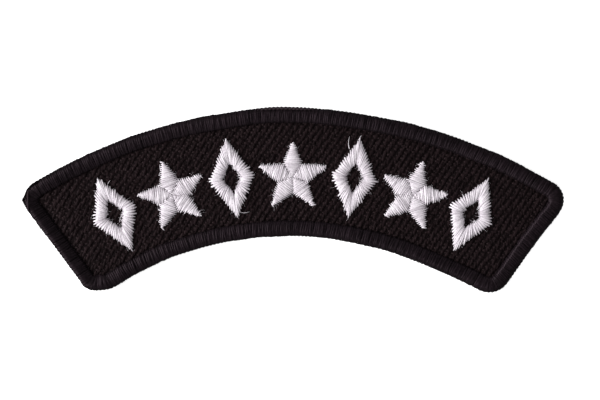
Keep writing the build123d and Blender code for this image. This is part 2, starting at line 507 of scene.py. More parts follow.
def thread_material(name, dark, light, tint, fibres, ridge, flecks, rough, shine, sheen):
    """Twisted filaments. Dark and light are the tone's ends, fibres the ridges round a strand, ridge in mm.

    Flecks are light and dark spots from loose fibres: how many to a metre, and how strong.
    """
    material, shader = new_material(name)
    strand_uv = add_node(material, "ShaderNodeUVMap", {"uv_map": "strand"})
    split = add_node(material, "ShaderNodeSeparateXYZ", Vector=strand_uv.outputs["UV"])
    along, around = split.outputs["X"], split.outputs["Y"]
    twist = calculate(material, "MULTIPLY_ADD", along, FILAMENT_TWIST, around)
    lay = calculate(material, "MULTIPLY", twist, float(fibres))
    slow = calculate(material, "MULTIPLY", along, FILAMENT_RATE)
    place = add_node(material, "ShaderNodeCombineXYZ", X=slow, Y=lay).outputs[0]
    filaments = add_node(material, "ShaderNodeTexNoise", Vector=place, **FILAMENT_NOISE).outputs["Fac"]
    tone = add_node(material, "ShaderNodeAttribute", {"attribute_name": "tone"}).outputs["Fac"]
    where = add_node(material, "ShaderNodeTexCoord").outputs["Object"]
    density, strength = flecks
    cloudy = add_node(material, "ShaderNodeTexNoise", Vector=where, Scale=density, Detail=3.0).outputs["Fac"]
    mixed = calculate(material, "MULTIPLY_ADD", filaments, FILAMENT_SHADE, tone)
    spots = calculate(material, "MULTIPLY_ADD", cloudy, strength, BASE_TONE - strength / 2)
    shade = calculate(material, "ADD", spots, mixed)
    relief = add_node(material, "ShaderNodeBump", Height=filaments, Strength=RELIEF, Distance=ridge * MM)
    plug(material, shader, Base_Color=add_ramp(material, shade, list(zip(TONE_ENDS, (dark, light)))),
         Normal=relief.outputs["Normal"], Roughness=rough, Specular_IOR_Level=shine, Specular_Tint=(*tint, 1),
         Sheen_Weight=sheen, Sheen_Roughness=SHEEN_ROUGHNESS, Sheen_Tint=(*tint, 1))
    return material


# %% Four threads
EDGING_TINT = (1.0, 0.74, 0.87)

edging_thread = thread_material(
    "black_edging_thread", dark=(0.0012, 0.0008, 0.001), light=(0.0094, 0.0058, 0.0078), tint=EDGING_TINT,
    fibres=14, ridge=0.012, flecks=(2600.0, 1.6), rough=0.52, shine=0.14, sheen=0.01)
# The looper thread's light end is several times the edging thread's: a painted highlight for the chain, the
# lip thread and the taut tail strand, where they face the lamp.
highlit_looper_thread = thread_material(
    "black_looper_thread_painted_highlight", dark=(0.0011, 0.0007, 0.0009), light=(0.036, 0.0262, 0.0312), tint=EDGING_TINT,
    fibres=9, ridge=0.012, flecks=(1500.0, 0.3), rough=0.5, shine=0.13, sheen=0.01)
twill_yarn = thread_material(
    "black_twill_yarn", dark=(0.002, 0.0012, 0.0013), light=(0.0103, 0.0062, 0.0068), tint=(1.0, 0.68, 0.74),
    fibres=10, ridge=0.035, flecks=(3200.0, 4.4), rough=0.5, shine=0.114, sheen=0.01)
satin_thread = thread_material(
    "white_satin_thread", dark=(0.6, 0.545, 0.595), light=(0.99, 0.93, 0.985), tint=(1.0, 0.97, 1.0),
    fibres=9, ridge=0.018, flecks=(2800.0, 0.7), rough=0.38, shine=0.5, sheen=0.08)
print("threads", [thread.name for thread in (edging_thread, highlit_looper_thread, twill_yarn, satin_thread)])


# %% [markdown]
# ## The cloth
# The ground is twill: a woven cloth whose warp threads pass over two weft threads and under
# one, each row stepping one thread sideways, so that the floats line up as diagonal ribs. The
# weft shows only as small dark pips, sunk in the furrows between the ribs.
# A bump map would stay flat at its edges and in the light. Here every float is a small
# raised grain of its own, laid over one closed sheet that has the cloth's thickness. The
# border's stitches press a crease into the cloth along the seam. At the left end they were
# drawn tightest, so there the crease is deeper and wider, and lies in the border's shade.

# %% Level of the cloth
BORDER_WIDTH = 2.86  # along the arched edges
END_BORDER_WIDTHS = (2.62, 2.92)  # left end, right end
END_EASE = 5.0  # length over which one width turns into the other
CLOTH_LOW, CLOTH_TOP = 0.35, 1.35  # the floats rise from here to the CAD cloth's face at 1.45
CLOTH_INSET = 0.75
CLOTH_WAVES = (0.022, 0.018)  # heights of its slight unevenness
SEAM_DEPTH, SEAM_REACH = 0.12, 0.4  # the crease along the seam
LEFT_DEPTH, LEFT_SPREAD = 0.17, 0.7  # how much deeper and wider it is along the left end
SEAM_STEP, SPOTS_AT_ONCE = 0.4, 2000  # for finding the nearest place on the seam


def end_shares(distance):
    """How far the border has the form of each end: 1 along that end, easing to 0 past its corners."""
    shares = []
    for start, stop in end_spans:
        middle, half = (start + stop) / 2, (stop - start) / 2
        away = np.abs(np.mod(distance - middle + edge_length / 2, edge_length) - edge_length / 2)
        share = np.clip(1 - (away - half) / END_EASE, 0, 1)
        shares.append(share**2 * (3 - 2 * share))
    return shares


def seam_width(distance):
    """The border's width at distances along the outline."""
    ends = zip(end_shares(distance), END_BORDER_WIDTHS)
    return BORDER_WIDTH + sum(share * (width - BORDER_WIDTH) for share, width in ends)


def nearest_seam(x, y):
    """How far points lie inside the seam, where the border ends, and how near they are to the left end."""
    spots = np.stack([np.ravel(x), np.ravel(y)], axis=-1)
    marks = np.arange(0, edge_length, SEAM_STEP)
    edge, width, at_left = on_edge(marks, 0 * marks), seam_width(marks), end_shares(marks)[0]
    inside, left = np.empty((2, len(spots)))
    for part in np.array_split(np.arange(len(spots)), max(1, len(spots) // SPOTS_AT_ONCE)):
        gaps = np.linalg.norm(spots[part, None] - edge[None], axis=-1) - width[None]
        closest = gaps.argmin(1)
        inside[part], left[part] = gaps[np.arange(len(part)), closest], at_left[closest]
    return inside.reshape(np.shape(x)), left.reshape(np.shape(x))


def cloth_level(x, y):
    """Height of the cloth's face under the floats, with a slight unevenness and the crease at the seam."""
    slow, fast = CLOTH_WAVES
    wave = slow * swirl(x, y, 0.37, 0.9, 0.21) + fast * np.sin(0.53 * y + 0.16 * x + 1.3)
    inside, left = nearest_seam(x, y)
    crease = (SEAM_DEPTH + LEFT_DEPTH * left) * bump(inside, SEAM_REACH + LEFT_SPREAD * left)
    return CLOTH_TOP + wave - crease


print("cloth's face in the middle", round(float(cloth_level(0.0, 10.0)), 3), "mm high")

# %% Sheet of cloth
GRID = 1.0
CREASE_STEPS = (-1.0, -0.4, 0.2, 0.8, 1.6)  # rows of points along the seam, in reaches of the crease
GRID_INSET = 2.5  # where the even grid begins, in reaches of the crease
LOOP_STEP = 0.5  # between the points of a line that parts inside from outside
KEEP_INSIDE, MERGE = 1, 1e-6  # the triangulation keeps what the rim encloses, and joins points this close


def inside_outline(points, inset):
    """Which points lie inside the outline moved inwards by an inset."""
    loop = on_edge(np.arange(0, edge_length, LOOP_STEP), inset)
    x, y = points[:, :1], points[:, 1:2]
    x1, y1 = loop[:, 0][None], loop[:, 1][None]
    x2, y2 = np.roll(loop[:, 0], -1)[None], np.roll(loop[:, 1], -1)[None]
    crossing = (y1 > y) != (y2 > y)
    at = x1 + (y - y1) * (x2 - x1) / np.where(y2 == y1, 1, y2 - y1)
    return (crossing & (x < at)).sum(1) % 2 == 1


def cloth_sheet():
    """One closed sheet: a triangulated face, the same underside, and a wall round the cut edge."""
    marks = np.arange(0, edge_length, GRID)
    rim = on_edge(marks, CLOTH_INSET)
    crease = [on_edge(marks, BORDER_WIDTH + step * SEAM_REACH) for step in CREASE_STEPS]
    across, up = np.meshgrid(*(np.arange(low, high, GRID) for low, high in zip(edge_low, edge_high)))
    spots = np.stack([across.ravel(), up.ravel()], axis=-1)
    spots = spots[inside_outline(spots, BORDER_WIDTH + GRID_INSET * SEAM_REACH)]
    flat = [tuple(p) for p in np.concatenate([rim, *crease, spots])]
    ring = [(i, (i + 1) % len(rim)) for i in range(len(rim))]
    points, _, faces, *_ = delaunay_2d_cdt(flat, ring, [], KEEP_INSIDE, MERGE)
    flat = np.array([(p.x, p.y) for p in points])
    count = len(flat)
    points = np.concatenate([raised(flat, cloth_level(*flat.T)), raised(flat, CLOTH_LOW)])
    faces = [tuple(f) for f in faces]
    edges = {(a, b) for f in faces for a, b in zip(f, f[1:] + f[:1])}
    walls = [(b, a, a + count, b + count) for a, b in edges if (b, a) not in edges]
    mesh = bpy.data.meshes.new("twill_sheet")
    underside = [tuple(i + count for i in f[::-1]) for f in faces]
    mesh.from_pydata((points * MM).tolist(), [], faces + underside + walls)
    mesh.validate()
    mesh.polygons.foreach_set("use_smooth", [len(p.vertices) == 3 for p in mesh.polygons])
    return mesh


sheet_mesh = cloth_sheet()
twill_sheet = add_object("twill_sheet", sheet_mesh)
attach(twill_sheet, "root")
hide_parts("twill_ground")
print("cloth sheet", len(sheet_mesh.polygons), "faces")

# %% Weave between the floats
WEAVE_TONES = [(0.1, (0.005, 0.003, 0.0033)), (0.9, (0.012, 0.0072, 0.008))]
WEAVE_LINES = {"X": 1100.0, "Y": 840.0}  # bands across each axis, to a metre

weave, weave_shader = new_material("black_twill_ground")
place = add_node(weave, "ShaderNodeTexCoord").outputs["Object"]
lines = [
    add_node(weave, "ShaderNodeTexWave", {"bands_direction": axis}, Vector=place, Scale=scale, Distortion=1.2,
             Detail=2.0).outputs["Fac"]
    for axis, scale in WEAVE_LINES.items()
]
crossed = calculate(weave, "MULTIPLY", *lines)
weave_bump = add_node(weave, "ShaderNodeBump", Height=crossed, Strength=0.7, Distance=0.05 * MM)
plug(weave, weave_shader, Base_Color=add_ramp(weave, crossed, WEAVE_TONES), Roughness=0.8,
     Specular_IOR_Level=0.05, Normal=weave_bump.outputs["Normal"])
sheet_mesh.materials.append(weave)
print("weave lines", WEAVE_LINES)

# %% [markdown]
# ## Floats of the twill
# The rib's pitch and angle are measured, and give the pitches of the warp and the weft. The
# yarn's twist leans each float towards its rib, which makes the ribs look continuous. Woven
# threads are never quite even: each float strays a little, has a tone of its own and shares
# another with its rib. Towards the left end the cloth lies slacker, and its ribs are flatter
# and less even. Each float is a strand of a few stations, so the whole cloth is two meshes.

# %% Sizes of the floats
RIB_PITCH = 1.09  # between ribs, square to them
RIB_ANGLE = 52.5  # from the X axis
REPEAT = 3  # a float passes over two threads and under one
WARP_PITCH = RIB_PITCH / math.sin(math.radians(RIB_ANGLE)) / REPEAT
WEFT_PITCH = RIB_PITCH / math.cos(math.radians(RIB_ANGLE)) / REPEAT
FLOAT_RISE = 0.1
FLOAT_THICKNESS = 0.45  # as a share of a float's width
FLOAT_LEAN = 25.0  # degrees by which each float turns towards its rib
FLOAT_DIVE, FLOAT_TAPER = 2.2, 0.5  # how steeply its ends go down, and how much narrower they are
FLOATS_UNDER = 0.45  # how far they go on under the border
DRIFT, DRIFT_WAVE = 0.13, 1.1  # how far the threads wander, and how fast, in mm and radians per mm
CLOUD = 0.06  # slow changes of tone
RIB_TONE, RIB_TONES, FLOAT_TONE = 0.1, 400, 0.36
TONE_LIMITS = (-1.2, 0.55)
LENGTH_VARIES, WIDTH_VARIES = 0.03, 0.04
# Two values each: everywhere, and how much more where the cloth is slack.
FLOAT_STRAYS, HEIGHT_STRAYS = (0.08, 0.03), (0.018, 0.016)
SLACK_SINKS, SLACK_THINS = 0.5, 0.4  # shares by which slack floats are lower and thinner
SLACK_FADES = 1.5  # how soon the cloth is tighter towards the right, where 1 is an even change
LEFT_SEAM_PAINTED_SHADE, LEFT_REACH = 1.1, 0.9  # how much painted shade darkens the cloth at the left seam, where the border shades it, and how far in
# Columns: name, which crossings, shift, direction, length, half width, rise, tone and stations.
FLOATS = [
    ("twill_warp_floats", 0, (0.0, WEFT_PITCH / 2), heading(FLOAT_LEAN), 2.7 * WEFT_PITCH, 0.61 * WARP_PITCH,
     FLOAT_RISE, 0.05, 8),
    ("twill_weft_floats", 2, (0.0, 0.0), np.array([1.0, 0.0]), 1.9 * WARP_PITCH, 0.44 * WEFT_PITCH,
     0.6 * FLOAT_RISE, 0.08, 5),
]
print("twill pitches in mm: warp", round(WARP_PITCH, 3), "weft", round(WEFT_PITCH, 3))


# %% Lay the floats
def float_grid(offset):
    """Places of one set of floats: every third crossing, stepping one thread to the right for each row up."""
    pitches = zip(edge_low, edge_high, (WARP_PITCH, WEFT_PITCH))
    grid = np.meshgrid(*(np.arange(math.floor(low / p), math.ceil(high / p)) for low, high, p in pitches))
    column, row = (numbers.ravel() for numbers in grid)
    chosen = (column - row) % REPEAT == offset
    spots = np.stack([column[chosen] * WARP_PITCH, row[chosen] * WEFT_PITCH], axis=-1)
    ribs = (column[chosen] - row[chosen]) // REPEAT
    inside = inside_outline(spots, BORDER_WIDTH - FLOATS_UNDER)
    return spots[inside], ribs[inside]


def drift(spots):
    """How far the threads have wandered from their grid: long smooth waves of uneven length."""
    x, y = DRIFT_WAVE * spots[:, 0], DRIFT_WAVE * spots[:, 1]
    sideways = swirl(y, x, 0.9, 1.3, 0.31) + 0.6 * np.sin(2.3 * y - 0.5 * x)
    upward = swirl(x, y, 0.8, 1.1, 0.43) + 0.6 * np.sin(1.9 * x + 0.7 * y)
    return DRIFT / 2 * np.stack([sideways, upward], axis=-1)


def cloud(spots):
    """Slow changes of tone over the cloth."""
    x, y = spots.T
    return CLOUD * (swirl(x, y, 1.1, 1.7, 0.6) + swirl(y, x, 1.3, 1.4, 0.5, 2))


def slackness(spots):
    """How slackly the cloth lies, from 0 at the right end to 1 at the left."""
    return np.clip(0.5 - spots[:, :1] / (edge_high - edge_low)[0], 0, 1) ** SLACK_FADES


rib_tones = vary(RIB_TONE, RIB_TONES)


def float_piece(name, offset, shift, ahead, length, half_width, rise, tone, stations):
    """A mesh of grains: each is a short thread that comes up, lies on the cloth and dives again."""
    spots, ribs = float_grid(offset)
    count, slack = len(spots), slackness(spots)
    strays, uneven = (even + more * slack for even, more in (FLOAT_STRAYS, HEIGHT_STRAYS))
    spots = spots + shift + drift(spots) + strays * vary(1, count, 2)
    share = eased(stations)[None]
    lean = vary(LENGTH_VARIES, count, 1)
    run = share * length / 2 * (1 + vary(LENGTH_VARIES, count, 1))
    flat = spots[:, None] + run[..., None] * ahead + (lean * run)[..., None] * left_of(ahead)
    height = rise * (1 - SLACK_SINKS * slack) * (0.5 - FLOAT_DIVE * share**8) + uneven * vary(1, count, 1)
    spines = raised(flat, height + cloth_level(flat[..., 0], flat[..., 1]))
    swell = half_width * np.sqrt(1 - FLOAT_TAPER * share**6) * (1 + vary(WIDTH_VARIES, count, 1))
    tones = tone + rib_tones[ribs % RIB_TONES] + cloud(spots) + vary(FLOAT_TONE, count)
    inside, left = nearest_seam(*spots.T)
    # Painted shade on the floats beside the left end's seam.
    tones -= LEFT_SEAM_PAINTED_SHADE * left * bump(np.maximum(inside, 0), LEFT_REACH)
    thick = FLOAT_THICKNESS * (1 - SLACK_THINS * slack) * swell
    tones = np.clip(tones, *TONE_LIMITS)
    return strand_piece(name, spines, raised(left_of(ahead), 0.0), swell, thick, tones, twill_yarn, sides=6)


warp_floats, weft_floats = (float_piece(*row) for row in FLOATS)

# %% [markdown]
# ## The border
# An overlock machine throws a thick soft thread round the cloth's edge, over and under, and
# ties it along the seam and along the rim. From above that is a rounded bead of threads
# lying side by side, steep at its seam and rounder at its rim. A core gives the bead its
# body, and the threads are strands that follow its section: up from the seam, over the top,
# round the rim and back below. Each is a pair of plies that wind slowly about each other.
# Ridges drawn on a smooth bead would be quicker, but its outline would stay smooth.

# %% Section of the border
BORDER_HEIGHT = 2.05
SEAM_LEVEL = 1.05  # where the threads go into the cloth
FOOT_ROUND = 0.5
FOOT_SHORT = 0.3  # how far the threads end short of the seam on the underside
BEND_ROOM = 0.5  # mm of section that a turn of one radian counts for, when stations are spread
ARC_STEPS = 12
# Columns: width, rounding at the rim, rounding at the seam, drop from the crest to the seam's side,
# and how late the drop comes, where 1 is an even slope.
SECTIONS = [
    (BORDER_WIDTH, 1.15, 0.5, 0.36, 1.6),  # along the arched edges
    (END_BORDER_WIDTHS[0], 0.8, 0.4, 0.75, 1.2),  # left end
    (END_BORDER_WIDTHS[1], 1.4, 0.7, 0.4, 3.0),  # right end
]


def section_arc(inset, height, radius, start, stop):
    """Points of an arc in the section's plane, with angles from the inset axis."""
    turn = np.radians(np.linspace(start, stop, ARC_STEPS))
    return np.column_stack([inset + radius * np.cos(turn), height + radius * np.sin(turn)])


def border_section(count, form, sunk):
    """Inset and height from the seam over the top, round the rim and under, sunk below the outer surface."""
    width, rim, lip, drop, late = form
    top = np.linspace(width - lip, rim, ARC_STEPS + 2)[1:-1]
    line = np.concatenate([
        [(width - sunk, SEAM_LEVEL)],
        section_arc(width - lip, BORDER_HEIGHT - lip, lip - sunk, 0, 90),
        np.column_stack([top, np.full(ARC_STEPS, BORDER_HEIGHT - sunk)]),
        section_arc(rim, BORDER_HEIGHT - rim, rim - sunk, 90, 180),
        section_arc(FOOT_ROUND, FOOT_ROUND, FOOT_ROUND - sunk, 180, 270),
        [(width - FOOT_SHORT, sunk)],
    ])
    slope = np.clip((line[:, 0] - rim) / (width - rim), 0, 1)
    above = np.maximum(line[:, 1] - SEAM_LEVEL, 0) / (BORDER_HEIGHT - SEAM_LEVEL)
    line[:, 1] -= above * drop * slope**late
    ahead = np.diff(line, axis=0)
    bends = np.abs(np.diff(np.unwrap(np.arctan2(ahead[:, 1], ahead[:, 0]))))
    room = np.linalg.norm(ahead, axis=1) + BEND_ROOM * (np.append(bends, 0) + np.append(0, bends)) / 2
    steps = np.concatenate([[0], np.cumsum(room)])
    at = np.linspace(0, steps[-1], count)
    return np.column_stack([np.interp(at, steps, line[:, i]) for i in (0, 1)])


def section_at(distance, count, sunk):
    """The border's section at each distance: insets and heights, (distances, count)."""
    arched, left, right = (border_section(count, form, sunk) for form in SECTIONS)
    at_left, at_right = (share[:, None, None] for share in end_shares(distance))
    line = arched + at_left * (left - arched) + at_right * (right - arched)
    return line[..., 0], line[..., 1]


print("border section, inset and height in mm:", border_section(6, SECTIONS[0], 0.0).round(2).tolist())

# %% Rim
# Along the crown the rim's chain has been pulled up, so the threads turn down earlier there.
CROWN_X, CROWN_REACH = -1.2, 6.5
CHAIN_REST = 0.25  # how far up the chain lies elsewhere, as a share of its rise at the crown
RIPPLE = [(0.12, 0.31, 0), (0.08, 0.83, 1)]
TUCK, TUCK_REACH = 0.55, 1.15  # how far the threads give way to the chain, and over what inset
# Where the tail pulls the rim, over what length, and how far in.
TAIL_MIDDLE, TAIL_REACH, TAIL_PULL = end_spans[0][1] + 1.9, 2.3, 0.14


def rim_rise(distance):
    """How far the rim's chain has ridden up onto the face, from 0 to 1."""
    spot = on_edge(distance, np.zeros_like(distance))
    crown = bump(spot[..., 0] - CROWN_X, CROWN_REACH, 4) * (spot[..., 1] > 0)
    return np.maximum(crown, CHAIN_REST + waves(distance, RIPPLE))


def pull(distance):
    """How far the tail draws the rim in, at the top left corner."""
    return TAIL_PULL * bump(distance - TAIL_MIDDLE, TAIL_REACH, 4)


def tuck(inset, distance, chain_room=TUCK):
    """Moves the outer half of a section inwards, where the chain or the tail takes its place."""
    shift = chain_room * (rim_rise(distance) - CHAIN_REST) + pull(distance)
    return inset + shift * np.clip(1 - inset / TUCK_REACH, 0, 1)


print("the tail pulls at", round(float(TAIL_MIDDLE), 1), "mm along the outline")

# %% Core of the border
CORE_SUNK = 0.19  # how far it lies under the bead's surface
CORE_STEP, CORE_STATIONS = 0.5, 20  # mm between its sections, and points in each
CORE_TONE = -0.1
GROOVE = np.array([(CLOTH_INSET, 0.31), (CLOTH_INSET, 1.46)])  # inset and height of the cloth's edge


def border_core():
    """A closed ring with the border's C-shaped section."""
    around = np.linspace(0, edge_length, round(edge_length / CORE_STEP), endpoint=False)
    inset, height = section_at(around, CORE_STATIONS, CORE_SUNK)
    inset = tuck(inset, around[:, None], chain_room=0)
    inset, height = (np.concatenate([part, np.repeat(groove[None], len(around), axis=0)], axis=1)
                     for part, groove in zip((inset, height), GROOVE.T))
    points = raised(on_edge(np.broadcast_to(around[:, None], inset.shape), inset), height)
    quads, caps = skin_faces(*inset.shape, ring=True)
    return make_piece("border_core", points.reshape(-1, 3), quads, caps, np.full(inset.size, CORE_TONE), None,
                      edging_thread)


core = border_core()
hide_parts("merrowed_border")

# %% Wraps
WRAP_PITCH = 0.75  # from one thread to the next, each of two plies
WRAP_STATIONS = 19
PLY_HALF_WIDTH, PLY_HALF_HEIGHT = 0.275, 0.115
PLY_APART, PLY_CLIMB = (0.18, 0.02), 0.03  # sideways, where the second value winds, and up and down
PLY_TURNS = 1.15  # how often the plies wind about each other, from seam to seam
STAND_OUT = 0.08  # how far the threads swell past the outline between the chain's ties
SETTLED = 0.02  # how far they lie in the surface of the bead
WRAP_LEAN, LEAN_WAVE = 0.3, [(0.1, 0.13, 0)]
PLACE_VARIES, LEAN_VARIES, BOW_VARIES, LIFT_VARIES = 0.045, 0.1, 0.06, 0.022
WIDE_VARIES, HIGH_VARIES, THREAD_TONE, PLY_TONE = 0.08, 0.06, 0.1, 0.06
TONE_WAVES = [(0.07, 0.07, 2), (0.05, 0.31, 0)]
WRAP_TONE_LIMITS = (-0.45, 0.4)
FOOT_THINS, FOOT_FADES = 0.3, 9  # how much thinner a thread is at the seam, and how soon it isn't
FLOOR_GAP = 0.01
# How much painted shade darkens the inner side of the left end, which faces away from the lamp, and how soon
# that falls off across the bead.
LEFT_END_PAINTED_SHADE, INNER_SHARE = 0.5, 2.2


def paired(values):
    """The same value for both plies of each thread."""
    return np.repeat(values, 2, axis=0)


def border_wraps():
    """The threads across the bead, side by side all the way round."""
    count = round(edge_length / WRAP_PITCH)
    number = paired(np.arange(count))
    side = np.tile([-1.0, 1.0], count)[:, None]
    share = np.linspace(0, 1, WRAP_STATIONS)[None]
    middle = number * edge_length / count + paired(vary(PLACE_VARIES, count))
    inset, height = section_at(middle, WRAP_STATIONS, PLY_HALF_HEIGHT)
    lean = WRAP_LEAN + waves(number, LEAN_WAVE) + paired(vary(LEAN_VARIES, count))
    bows = paired(vary(BOW_VARIES, count, 3))
    bow = sum(bows[:, i : i + 1] * np.sin((i + 1) * np.pi * share + i) for i in range(3))
    twist = paired(rng.uniform(0, 2 * np.pi, count))[:, None] + 2 * np.pi * PLY_TURNS * share
    apart = side * (PLY_APART[0] + PLY_APART[1] * np.cos(twist))
    along = middle[:, None] + lean[:, None] * (share - 0.5) + bow + apart
    inset = tuck(inset, along) - STAND_OUT * np.clip(1 - inset / TUCK_REACH, 0, 1)
    lift = PLY_CLIMB * side * np.sin(twist) + paired(vary(LIFT_VARIES, count, 1)) - SETTLED
    outwards = unit(left_of(np.gradient(np.stack([inset, height], axis=-1), axis=1)))
    inset = inset + lift * outwards[..., 0]
    height = np.maximum(height + lift * outwards[..., 1], PLY_HALF_HEIGHT + FLOOR_GAP)
    spines = raised(on_edge(along, inset), height)
    across = raised(-left_of(edge_facing(along)), 0.0)
    wide = PLY_HALF_WIDTH * paired(1 + vary(WIDE_VARIES, count, 1))
    wide = wide * (1 - FOOT_THINS * np.exp(-share * FOOT_FADES))
    high = PLY_HALF_HEIGHT * (1 + vary(HIGH_VARIES, 2 * count, 1))
    tones = waves(number, TONE_WAVES) + paired(vary(THREAD_TONE, count)) + vary(PLY_TONE, 2 * count)
    # Painted shade on the inner half of the threads along the left end.
    painted_shade = LEFT_END_PAINTED_SHADE * end_shares(middle)[0][:, None] * np.clip(1 - INNER_SHARE * share, 0, 1)
    tones = np.clip(tones[:, None] - painted_shade, *WRAP_TONE_LIMITS)
    return strand_piece("border_wraps", spines, across, wide, high, tones, edging_thread)


wraps = border_wraps()

# %% [markdown]
# ## Chain, ties and lip thread
# Along the rim the machine locks each wrap with a chain, two threads that wind about each
# other. It mostly hides on the side, and shows as a row of dashes where it has ridden up.
# Along the seam the needle thread makes a low row of ties. Along the right end it has slipped
# out of the seam and lies on the border's inner lip, as one thin line from corner to corner,
# painted light as a highlight of the lamp on that lip. These threads run beside the outline,
# so they are strands laid by distance along it. The chain and the lip thread have a material
# of their own, far lighter than the wraps, whose light end is a painted highlight.

# %% Rim chain
CHAIN_TURN, CHAIN_STEP, CHAIN_HALF = 1.45, 0.13, 0.115  # length of a turn and a step, half thickness
CHAIN_PHASE = [(0.5, 0.4, 0)]
# The chain is painted lighter where it has ridden up at the crown: a painted highlight, where it catches the
# lamp.
CHAIN_TONES, CROWN_PAINTED_HIGHLIGHT = np.array([[-0.25], [-0.32]]), 0.6
CHAIN_CLIMB, CHAIN_PULSE = 0.1, 0.12  # how far the plies wind up and down, and how their thickness changes
# Two values each: at the foot of the rim, and how much more at the crown.
CHAIN_INSET, CHAIN_WIND, CHAIN_HEIGHT, CHAIN_SWELL = (0.11, 0.045), (0.07, 0.07), (0.78, 0.9), (1, 0.45)


def wound(along, inset, height, wind, climb, phase):
    """Two plies that wind about a line beside the outline."""
    plies = []
    for half_turn in (0, np.pi):
        flat = on_edge(along, inset + wind * np.cos(phase + half_turn))
        plies.append(raised(flat, height + climb * np.sin(phase + half_turn)))
    return np.stack(plies)


def rim_chain():
    """Two threads winding about each other all the way round the rim."""
    along = np.linspace(0, edge_length, round(edge_length / CHAIN_STEP) + 1)
    turns = round(edge_length / CHAIN_TURN)
    phase = 2 * np.pi * turns * along / edge_length + waves(along, CHAIN_PHASE)
    rise = rim_rise(along)
    rows = (CHAIN_INSET, CHAIN_WIND, CHAIN_HEIGHT, CHAIN_SWELL)
    inset, wind, height, swell = (foot + more * rise for foot, more in rows)
    spines = wound(along, inset + pull(along), height, wind, CHAIN_CLIMB, phase)
    swell = CHAIN_HALF * (swell * (1 + CHAIN_PULSE * np.cos(2 * phase)))[None]
    tones = CHAIN_TONES + CROWN_PAINTED_HIGHLIGHT * rise[None] ** 2
    return strand_piece("rim_chain", spines, UP, swell, swell, tones, highlit_looper_thread, sides=6)


chain = rim_chain()

# %% Seam ties
TIE_LENGTH, TIE_HALF, TIE_STATIONS = 0.52, 0.1, 6
TIE_FOOT, TIE_RISE = 1.13, 0.13  # heights of its ends, and of its middle over them
TIE_OUT, TIE_SLANT = 0.02, 0.06  # how far past the seam a tie lies, and how far each end turns from it
TIE_FLAT, TIE_TAPER = 0.8, 0.6  # its height as a share of its width, and how much thinner its ends are
# The ties are painted lighter than the wraps: painted light that lifts the shade in the seam.
TIE_TONE, TIE_TONE_LIMITS = 0.35, (-0.3, 0.6)
TIE_VARIES = {"place": 0.06, "slant": 0.05, "length": 0.12, "inset": 0.03, "depth": 0.05, "tone": 0.12}


def seam_ties():
    """Short stitches of the needle thread along the seam, one for each wrap, some sunk out of sight."""
    count = round(edge_length / WRAP_PITCH)
    middle = (np.arange(count) + 0.5) * edge_length / count + vary(TIE_VARIES["place"], count)
    share = np.linspace(-1, 1, TIE_STATIONS)[None]
    slant = TIE_SLANT + vary(TIE_VARIES["slant"], count, 1)
    along = middle[:, None] + share * TIE_LENGTH / 2 * (1 + vary(TIE_VARIES["length"], count, 1))
    inset = seam_width(middle)[:, None] + TIE_OUT + slant * share + vary(TIE_VARIES["inset"], count, 1)
    height = TIE_FOOT + TIE_RISE * (1 - share**2) - np.abs(vary(TIE_VARIES["depth"], count, 1))
    swell = TIE_HALF * np.sqrt(1 - TIE_TAPER * share**2)
    # Along the left end the ties take the same painted shade as the wraps there.
    tones = TIE_TONE + vary(TIE_VARIES["tone"], count) - LEFT_END_PAINTED_SHADE * end_shares(middle)[0]
    tones = np.clip(tones, *TIE_TONE_LIMITS)
    spines, across = raised(on_edge(along, inset), height), raised(edge_facing(along), 0.0)
    return strand_piece("seam_ties", spines, across, swell, TIE_FLAT * swell, tones, edging_thread, sides=6)


ties = seam_ties()

# %% Lip thread
LIP_START, LIP_STOP = end_spans[1][0] - 3.2, end_spans[1][1] + 0.6
LIP_INSET, LIP_HEIGHT, LIP_HALF = 2.4, 1.87, 0.19
LIP_TURN = 0.9  # length in which its plies wind once about each other
LIP_SINK, LIP_EASE = 0.5, 0.7  # how deep its ends go in, and over what length
LIP_WAVES = [(0.04, 0.9, 0), (0.03, 2.3, 1)]
# Both plies are painted light: a highlight of the lamp on the lip, painted into the thread.
LIP_HIGHLIGHT_TONES = np.array([0.4, 0.3])
LIP_STATIONS = 220
PLY_WIND, PLY_SHARE = 0.4, 0.6  # how far a ply lies off the middle, and its half width, in half thicknesses


def lip_thread():
    """Two plies wound about each other along the lip, sinking into it at both ends."""
    along = np.linspace(LIP_START, LIP_STOP, LIP_STATIONS)
    sink = LIP_SINK * (np.exp(-(along - LIP_START) / LIP_EASE) + np.exp((along - LIP_STOP) / LIP_EASE))
    wind, swell = PLY_WIND * LIP_HALF, PLY_SHARE * LIP_HALF
    spines = wound(along, LIP_INSET + waves(along, LIP_WAVES), LIP_HEIGHT - sink, wind, wind,
                   2 * np.pi * along / LIP_TURN)
    return strand_piece("lip_thread", spines, raised(edge_facing(along), 0.0)[None], swell, swell, LIP_HIGHLIGHT_TONES,
                        highlit_looper_thread)


lip = lip_thread()

# %% [markdown]
# ## Tail
# Where the border's stitching starts and ends, the machine runs on past the corner and leaves
# a little chain of thread. At the top left corner one strand of it lies along the rim and
# closes into a small loop, one goes on below the loop, and one is drawn taut across the corner
# and shines. Each route is a short list of given points, rounded by cutting its
# corners, and two plies wind about it.

